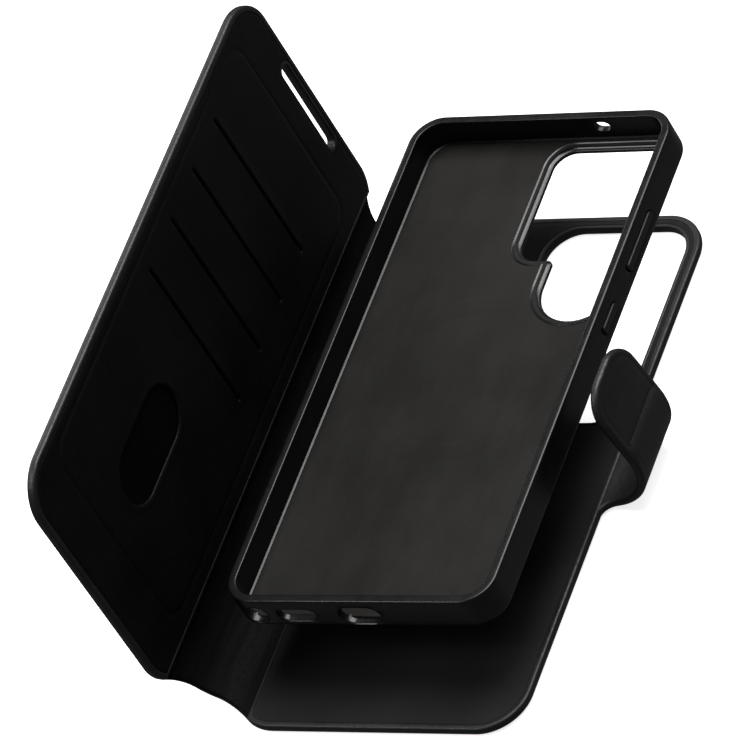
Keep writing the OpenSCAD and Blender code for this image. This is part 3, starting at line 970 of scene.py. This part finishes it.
def floor_relief(x, y):
    """The magnets show faintly through the lining."""
    ring = np.hypot(x - RING[0], y - RING[1])
    flat = smooth((ring - RING[2] + 0.3) / 0.6) * smooth((RING[3] + 0.3 - ring) / 0.6)
    angle = np.degrees(np.arctan2(y - RING[1], x - RING[0])) % 360
    shown = flat * ((angle > 78) | (angle < 18))
    bar = smooth(0.5 - rect_distance(x, y, ALIGN, 1.5))
    brushed = 0.03 * np.exp(-((ring - 31.5) / 0.5) ** 2) + 0.025 * np.exp(-((ring - 19.5) / 0.5) ** 2)
    uneven = 0.05 * ripple(x, y, 17, 9.1) + 0.025 * ripple(x, y, 5, 4.4)
    return 0.10 * np.maximum(shown, bar) + brushed + uneven


def ring_line(r):
    """Follows the magnets' ring where it is closed, clear of the camera hole."""
    turn = np.radians(np.arange(80, 375, 2.5))
    return np.column_stack([RING[0] + r * np.cos(turn), RING[1] + r * np.sin(turn)])


def case_floor():
    inner = case_corners(WALL + 0.04)
    plate = slab("case_hard_back", (inner, 0), place_case, round_edge(BACK_Z, 0.15, 3, 0.35),
                 holes=[(HOLE, 1.0)], cell=4,
                 bottom=lambda x, y: 0.02 * ripple(x, y, 30, 2.2))
    finish_piece(plate, PLATE, "case", "shell_plate", "case_back")
    nap = slab("case_floor_lining", (inner, 0), lifted(place_case, BACK_Z - 0.05),
               sheet_edge(FLOOR_Z - BACK_Z + 0.05, 0.2), holes=[(HOLE, 1.0)],
               lines=[(ring_line(r), "open") for r in (22.7, 23.3, 25.5, 27.7, 28.3)],
               top=floor_relief, cell=1.0)
    finish_piece(nap, FLOOR_LINING, "case", "microfibre", "case_lining")


def camera_bezel():
    section = [(0.35, -0.06), (2.25, -0.06), (2.42, 0.05), (2.5, 0.25), (2.5, 1.9)]
    section += arc(2.26, FLOOR_Z + 0.02, 0.24, 0, 115, 6)
    section += [(1.85, FLOOR_Z - 0.02), (1.35, FLOOR_Z - 0.34), (0.8, FLOOR_Z - 0.72)]
    section += arc(0.32, 0.78, 0.32, 70, 180, 5)
    section += [(0.0, 0.35)] + arc(0.22, 0.16, 0.22, 180, 250, 3)
    bezel = swept("camera_bezel", HOLE, section, place_case, 1.5, 50)
    finish_piece(bezel, POLISHED, "case", "shell", "camera_frame")


def button(name, at, length, body, node):
    """A key: a flange behind the wall, and a soft-edged cap through it."""
    corners = stadium_corners(at, BUTTON_Z, length + 1.2, 3.8)
    flange = [(0.1, 0.1), (0.0, 0.2), (0.0, 0.8), (0.1, 0.9), (0.6, 0.9)]
    cap = [(0.6, 2.05)] + [(1.05 - 0.45 * math.cos(a), 2.12 + 0.42 * math.sin(a))
                           for a in np.linspace(0.25, math.pi / 2, 4)]
    dip = (lambda u, v: -0.10 * np.exp(-((u - at) / 0.5) ** 2)) if length > 15 else None
    cap_obj = slab(name, (corners, 0), wall_place("right"), flange + cap, top=dip, cell=0.5,
                   step=1.0)
    finish_piece(cap_obj, PLATE, body, "shell", node)


def phone_case():
    bumper()
    case_floor()
    camera_bezel()
    button("volume_rocker", 41.6, 20, "volume_key", "volume_button")
    button("power_cap", 15.1, 10, "power_key", "power_button")


# ---------------------------------------------------------------- stage, light, camera

FLOOR_SIZE = 9          # metres, as is all that follows
FLOOR_DROP = 0.0002     # keeps the floor clear of the panel's underside
WORLD_LIGHT = 0.10
VIEW_AZIMUTH, VIEW_ELEVATION, VIEW_ROLL = 44.233, 41.393, 33.606
VIEW_AIM = (-0.01239, -0.00228, 0.04795)
VIEW_DISTANCE = 1.85666
LENS, SENSOR = 344.1, 36

def paper(name, colour):
    """Matt white paper that glows a little."""
    s = Shader(name)
    s.link(s.colours(s.noise(9, 2), tuple(0.985 * c for c in colour), colour), "Base Color")
    s.link(s.ramp(s.noise(300, 2), 0.75, 0.85), "Roughness")
    s.bump([(s.noise(900, 2), 0.05, 0.00004)])
    s.set(Specular_IOR_Level=0.15, Emission_Strength=0.8)
    s.set(Emission_Color=(1, 1, 1, 1))
    return s.material


def build_stage():
    """A pale flat floor. It shows pure white and doesn't light the object from below."""
    bpy.ops.mesh.primitive_plane_add(size=FLOOR_SIZE, location=(0, 0, -FLOOR_DROP))
    floor = bpy.context.object
    floor.name = "floor"
    floor.data.materials.append(paper("paper_sweep", (0.93, 0.93, 0.93)))
    floor.visible_diffuse = False
    floor.visible_glossy = False


def area_light(name, place, aim, size, power):
    data = bpy.data.lights.new(name, "AREA")
    data.shape = "RECTANGLE"
    data.size, data.size_y = size
    data.energy = power
    light = bpy.data.objects.new(name, data)
    light.location = place
    light.rotation_euler = (Vector(aim) - Vector(place)).to_track_quat("-Z", "Y").to_euler()
    bpy.context.scene.collection.objects.link(light)


def light_scene():
    world = bpy.data.worlds.new("studio")
    world.use_nodes = True
    background = world.node_tree.nodes["Background"]
    background.inputs["Color"].default_value = (1, 1, 1, 1)
    background.inputs["Strength"].default_value = WORLD_LIGHT
    bpy.context.scene.world = world
    area_light("key_overhead", (0.10, 0.45, 1.2), (0, 0.05, 0.03), (0.9, 0.9), 19)
    area_light("edge_right", (0.68, 0.82, 1.05), (0, 0, 0.03), (0.45, 0.45), 3.2)
    area_light("edge_left", (-0.78, -0.52, 1.12), (0, 0, 0.03), (0.45, 0.45), 4.4)
    area_light("fill_behind", (-1.2, 0.5, 0.6), (0, 0, 0.05), (0.9, 0.6), 5)
    bpy.context.scene.view_settings.view_transform = "Standard"


def place_camera():
    """Looks at the wallet from above its lower right, with the camera turned on its axis."""
    azimuth, elevation = math.radians(VIEW_AZIMUTH), math.radians(VIEW_ELEVATION)
    roll = math.radians(VIEW_ROLL)
    aim = Vector(VIEW_AIM)
    away = Vector((math.cos(elevation) * math.sin(azimuth),
                   -math.cos(elevation) * math.cos(azimuth), math.sin(elevation)))
    data = bpy.data.cameras.new("photo_camera")
    data.lens, data.sensor_width, data.clip_start = LENS, SENSOR, 0.05
    camera = bpy.data.objects.new("photo_camera", data)
    toward = -away
    side = toward.cross(Vector((0, 0, 1))).normalized()
    up = side.cross(toward).normalized()
    up, side = (up * math.cos(roll) + side * math.sin(roll),
                side * math.cos(roll) - up * math.sin(roll))
    turn = Matrix((side, up, -toward)).transposed().to_4x4()
    camera.matrix_world = Matrix.Translation(aim + away * VIEW_DISTANCE) @ turn
    bpy.context.scene.collection.objects.link(camera)
    bpy.context.scene.camera = camera


dress_hidden_nodes()
back_panel()
front_cover()
spine()
strap()
phone_case()
build_stage()
light_scene()
place_camera()
